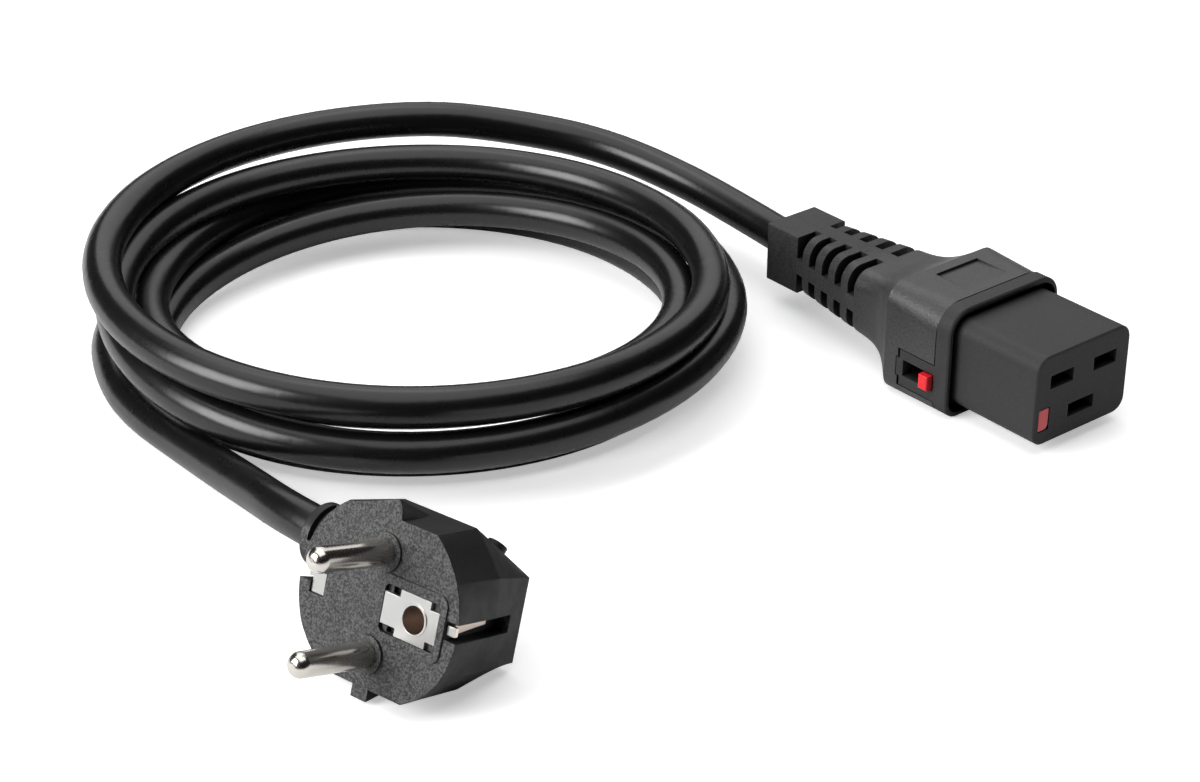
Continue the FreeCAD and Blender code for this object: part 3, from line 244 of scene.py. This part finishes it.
def faces_out(tree):
    """One where the surface looks out of the plug's face, else zero."""
    geometry = tree.nodes.new("ShaderNodeNewGeometry")
    facing = tree.nodes.new("ShaderNodeVectorMath")
    facing.operation = "DOT_PRODUCT"
    link(tree, geometry, "True Normal", facing, 0)
    facing.inputs[1].default_value = PLUG_AXIS
    return ramp(tree, facing, "Value", 0.9, 0.97, 0.0, 1.0)


def plug_plastic():
    """Plug moulding: pale coarse spark-eroded grain on the round face, smooth and dark round the sides; the
    sides' dark tone is partly their own and partly painted shade.
    """
    mat, tree, shader = new_material("plug_pvc")
    face = faces_out(tree)
    coords = tree.nodes.new("ShaderNodeTexCoord")
    grain = tree.nodes.new("ShaderNodeTexVoronoi")
    grain.inputs["Scale"].default_value = 3000.0
    link(tree, coords, "Object", grain, "Vector")
    speckle = ramp(tree, grain, "Color", 0.1, 1.0, 0.02, 0.115)
    # The sides get a darker tone than the face: partly the moulding's own colour, partly painted shade where
    # they turn away from the light.
    tint = tree.nodes.new("ShaderNodeMix")
    tint.data_type = "FLOAT"
    tint.inputs[2].default_value = PLUG_SIDE_TONE_AND_SHADE
    link(tree, face, "Result", tint, 0)
    link(tree, speckle, "Result", tint, 3)
    colour = tree.nodes.new("ShaderNodeCombineColor")
    for channel in ("Red", "Green", "Blue"):
        link(tree, tint, 0, colour, channel)
    link(tree, colour, "Color", shader, "Base Color")
    rough = ramp(tree, noise(tree, 260.0, 3.0), "Fac", 0.3, 0.7, 0.42, 0.54)
    link(tree, rough, "Result", shader, "Roughness")
    shader.inputs["Specular IOR Level"].default_value = 0.3
    coarse = tree.nodes.new("ShaderNodeBump")
    coarse.inputs["Distance"].default_value = 0.05 * MM
    link(tree, face, "Result", coarse, "Strength")
    link(tree, grain, "Color", coarse, "Height")
    link(tree, edge_normal(tree, 0.35 * MM), "Normal", coarse, "Normal")
    fine = tree.nodes.new("ShaderNodeBump")
    fine.inputs["Distance"].default_value = 0.012 * MM
    link(tree, noise(tree, 1800.0, 3.0, 0.7), "Fac", fine, "Height")
    link(tree, coarse, "Normal", fine, "Normal")
    link(tree, fine, "Normal", shader, "Normal")
    return mat


def earth_metal():
    """Satin nickel where the plate faces out of the plug, bronze where the strap and the tube turn inwards."""
    mat = metal("earth_nickel", NICKEL, 0.3)
    tree = mat.node_tree
    tint = tree.nodes.new("ShaderNodeMix")
    tint.data_type = "RGBA"
    link(tree, faces_out(tree), "Result", tint, 0)
    tint.inputs[6].default_value = (*BRONZE, 1)
    tint.inputs[7].default_value = (*NICKEL, 1)
    link(tree, tint, 2, tree.nodes["Principled BSDF"], "Base Color")
    return mat


def overmould():
    """Satin overmould, a little less glossy round the cord relief than on the grip."""
    mat = moulded("overmould_pvc", (0.038, 0.038, 0.039), 0.38, 2100.0, 0.09 * MM, wear=0.12, speckle=0.3)
    tree = mat.node_tree
    gloss = along_length(tree, *RELIEF_END, 0.2, 0.55)
    link(tree, gloss, "Result", tree.nodes["Principled BSDF"], "Specular IOR Level")
    return mat


def slider_plastic():
    """Red slider: vivid at the button, paler towards its tip."""
    mat = moulded("slider_red_pom", SLIDER_RED, 0.36, 2600.0, 0.01 * MM, mottling=0.05, speckle=0.03)
    tree = mat.node_tree
    shader = tree.nodes["Principled BSDF"]
    vivid_red = shader.inputs["Base Color"].links[0].from_node
    # The colour turns paler red towards the slider's tip.
    tint = tree.nodes.new("ShaderNodeMix")
    tint.data_type = "RGBA"
    link(tree, along_length(tree, *SLIDER_TIP, 0.0, 1.0), "Result", tint, 0)
    link(tree, vivid_red, "Vector", tint, 6)
    tint.inputs[7].default_value = (*PALE_TIP_RED, 1)
    link(tree, tint, 2, shader, "Base Color")
    return mat


MATERIALS = {
    "nose_plastic": moulded("nose_pbt", (0.042, 0.042, 0.043), 0.5, 2600.0, 0.025 * MM, spec=0.17),
    "overmould": overmould(),
    "slider_red": slider_plastic(),
    "spring_steel": metal("spring_steel", (0.6, 0.6, 0.61), 0.22),
    "contact_metal": metal("contact_brass", (0.78, 0.62, 0.34), 0.25),
    "insert_plastic": moulded("insert_black", (0.02, 0.02, 0.02), 0.6, 2000.0, 0.01 * MM),
    "core_brown": moulded("core_brown", (0.11, 0.04, 0.018), 0.4, 1200.0, 0.01 * MM),
    "core_blue": moulded("core_blue", (0.02, 0.12, 0.5), 0.4, 1200.0, 0.01 * MM),
    "core_green_yellow": moulded("core_green_yellow", (0.3, 0.55, 0.03), 0.4, 1200.0, 0.01 * MM),
    "plug_plastic": plug_plastic(),
    "pin_metal": metal("pin_nickel", (0.62, 0.59, 0.55), 0.2),
    "earth_metal": earth_metal(),
    "cord_jacket": cord_jacket(),
}

slots = {part["node"]: part["material_slot"] for part in frame["record"]["subparts"]}
for name, obj in nodes.items():
    obj.data.materials.clear()
    obj.data.materials.append(MATERIALS[slots[name]])


# ---------------------------------------------------------------- cord
def eased(values, place):
    """Smooth value between listed stations (Catmull-Rom)."""
    i = min(int(place), len(values) - 2)
    t = place - i
    a, b, c, d = (values[min(max(k, 0), len(values) - 1)] for k in (i - 1, i, i + 1, i + 2))
    squared = (2 * a - 5 * b + 4 * c - d) * t ** 2
    cubed = (3 * b - a - 3 * c + d) * t ** 3
    return 0.5 * (2 * b + (c - a) * t + squared + cubed)


def nudged(quarter, which):
    """Sum of the departures at this place; each fades out over NUDGE_REACH quarters."""
    near = [(quarter - nudge[0], nudge[which]) for nudge in COIL_NUDGES
            if abs(quarter - nudge[0]) < NUDGE_REACH]
    return sum(amount * math.cos(math.pi / 2 * away / NUDGE_REACH) ** 2 for away, amount in near)


def coil_points():
    """Points round the coil; a NURBS of this order cuts its corners, so they lie a little further out."""
    steps = (len(COIL) - 1) * POINTS_PER_TURN // 4
    widen = 1 / math.cos(math.pi / POINTS_PER_TURN)
    radii = [r for r, _ in COIL]
    heights = [z for _, z in COIL]
    points = []
    for step in range(steps + 1):
        quarter = step * 4 / POINTS_PER_TURN
        angle = math.radians(COIL_START_ANGLE + 90 * quarter)
        radius = (eased(radii, quarter) + nudged(quarter, 1)) * widen
        height = eased(heights, quarter) + nudged(quarter, 2)
        points.append((COIL_CENTRE[0] + radius * math.cos(angle), COIL_CENTRE[1] + radius * math.sin(angle),
                       max(height, CORD_DIAMETER / 2 + 0.05)))
    return points


def make_cord():
    route = LEAD + coil_points() + TAIL
    curve = bpy.data.curves.new("mains_cord", "CURVE")
    curve.dimensions = "3D"
    spline = curve.splines.new("NURBS")
    spline.points.add(len(route) - 1)
    for point, place in zip(spline.points, route):
        point.co = (*(c * MM for c in place), 1.0)
    spline.order_u = 3
    spline.use_endpoint_u = True
    spline.resolution_u = 6
    curve.bevel_depth = CORD_DIAMETER / 2 * MM
    curve.bevel_resolution = 7
    curve.use_fill_caps = True
    obj = bpy.data.objects.new("mains_cord", curve)
    bpy.context.collection.objects.link(obj)
    curve.materials.append(MATERIALS["cord_jacket"])
    return obj


cord = make_cord()
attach(cord, "cordset")
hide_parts("cord_lead", "cord_coil", "cord_tail")


# ---------------------------------------------------------------- floor, light and camera
FLOOR_SIZE = 6.0
FLOOR_TONE = 0.5
FLOOR_TONE_SEEN = 0.93
FLOOR_GLOW_SEEN = 0.45

# Name, size, place, point aimed at, power
LAMPS = [
    ("back", (1.2, 0.9), (-0.6, 0.45, 0.7), (-0.05, -0.08, 0.0), 4.0),
    ("side", (0.6, 0.6), (-0.25, -0.95, 0.5), (-0.05, -0.08, 0.0), 11.5),
    ("overhead", (1.2, 1.0), (-0.1, -0.1, 0.9), (-0.1, -0.1, 0.0), 6.5),
]

CAMERA_AT = (358.82, -381.21, 274.67)
CAMERA_FORWARD = (-0.6834, 0.5523, -0.4774)
CAMERA_RIGHT = (0.6285, 0.7778, 0.0)
CAMERA_LENS = 80.09


def floor():
    """White ground: paler to the camera and in reflections than in the light it throws back."""
    bpy.ops.mesh.primitive_plane_add(size=FLOOR_SIZE, location=(0, 0, -0.05 * MM))
    plane = bpy.context.object
    plane.name = "floor"
    mat, tree, shader = new_material("floor_white")
    shader.inputs["Roughness"].default_value = 0.9
    shader.inputs["Specular IOR Level"].default_value = 0.1
    path = tree.nodes.new("ShaderNodeLightPath")
    seen = tree.nodes.new("ShaderNodeMath")
    seen.operation = "MAXIMUM"
    link(tree, path, "Is Camera Ray", seen, 0)
    link(tree, path, "Is Glossy Ray", seen, 1)
    tone = tree.nodes.new("ShaderNodeMix")
    tone.data_type = "RGBA"
    tone.inputs[6].default_value = (*(FLOOR_TONE,) * 3, 1)
    tone.inputs[7].default_value = (*(FLOOR_TONE_SEEN,) * 3, 1)
    link(tree, seen, "Value", tone, 0)
    link(tree, tone, 2, shader, "Base Color")
    glow = tree.nodes.new("ShaderNodeMath")
    glow.operation = "MULTIPLY"
    glow.inputs[1].default_value = FLOOR_GLOW_SEEN
    link(tree, path, "Is Camera Ray", glow, 0)
    shader.inputs["Emission Color"].default_value = (1, 1, 1, 1)
    link(tree, glow, "Value", shader, "Emission Strength")
    plane.data.materials.append(mat)


def area(name, size, place, aim, power):
    light = bpy.data.lights.new(name, "AREA")
    light.shape = "RECTANGLE"
    light.size, light.size_y = size
    light.energy = power
    obj = bpy.data.objects.new(name, light)
    obj.location = place
    obj.rotation_euler = (Vector(aim) - Vector(place)).to_track_quat("-Z", "Y").to_euler()
    bpy.context.collection.objects.link(obj)


def world():
    """Soft room light, brighter overhead and towards the back than on the right."""
    back = bpy.data.worlds.new("studio")
    back.use_nodes = True
    tree = back.node_tree
    shade = tree.nodes["Background"]
    coords = tree.nodes.new("ShaderNodeTexCoord")
    bright_side = tree.nodes.new("ShaderNodeVectorMath")
    bright_side.operation = "DOT_PRODUCT"
    link(tree, coords, "Generated", bright_side, 0)
    bright_side.inputs[1].default_value = Vector((-0.55, 0.25, 0.8)).normalized()
    level = ramp(tree, bright_side, "Value", -0.6, 1.0, 0.13, 0.55)
    link(tree, level, "Result", shade, "Strength")
    bpy.context.scene.world = back


def camera():
    place = Vector(CAMERA_AT) * MM
    forward = Vector(CAMERA_FORWARD).normalized()
    right = Vector(CAMERA_RIGHT).normalized()
    up = right.cross(forward)
    cam = bpy.data.cameras.new("camera")
    cam.lens = CAMERA_LENS
    cam.sensor_width = 36.0
    cam.clip_start = 0.01
    obj = bpy.data.objects.new("camera", cam)
    obj.matrix_world = Matrix((
        (right.x, up.x, -forward.x, place.x),
        (right.y, up.y, -forward.y, place.y),
        (right.z, up.z, -forward.z, place.z),
        (0, 0, 0, 1),
    ))
    bpy.context.collection.objects.link(obj)
    bpy.context.scene.camera = obj


floor()
world()
for lamp in LAMPS:
    area(*lamp)
camera()
bpy.context.scene.view_settings.view_transform = "Standard"
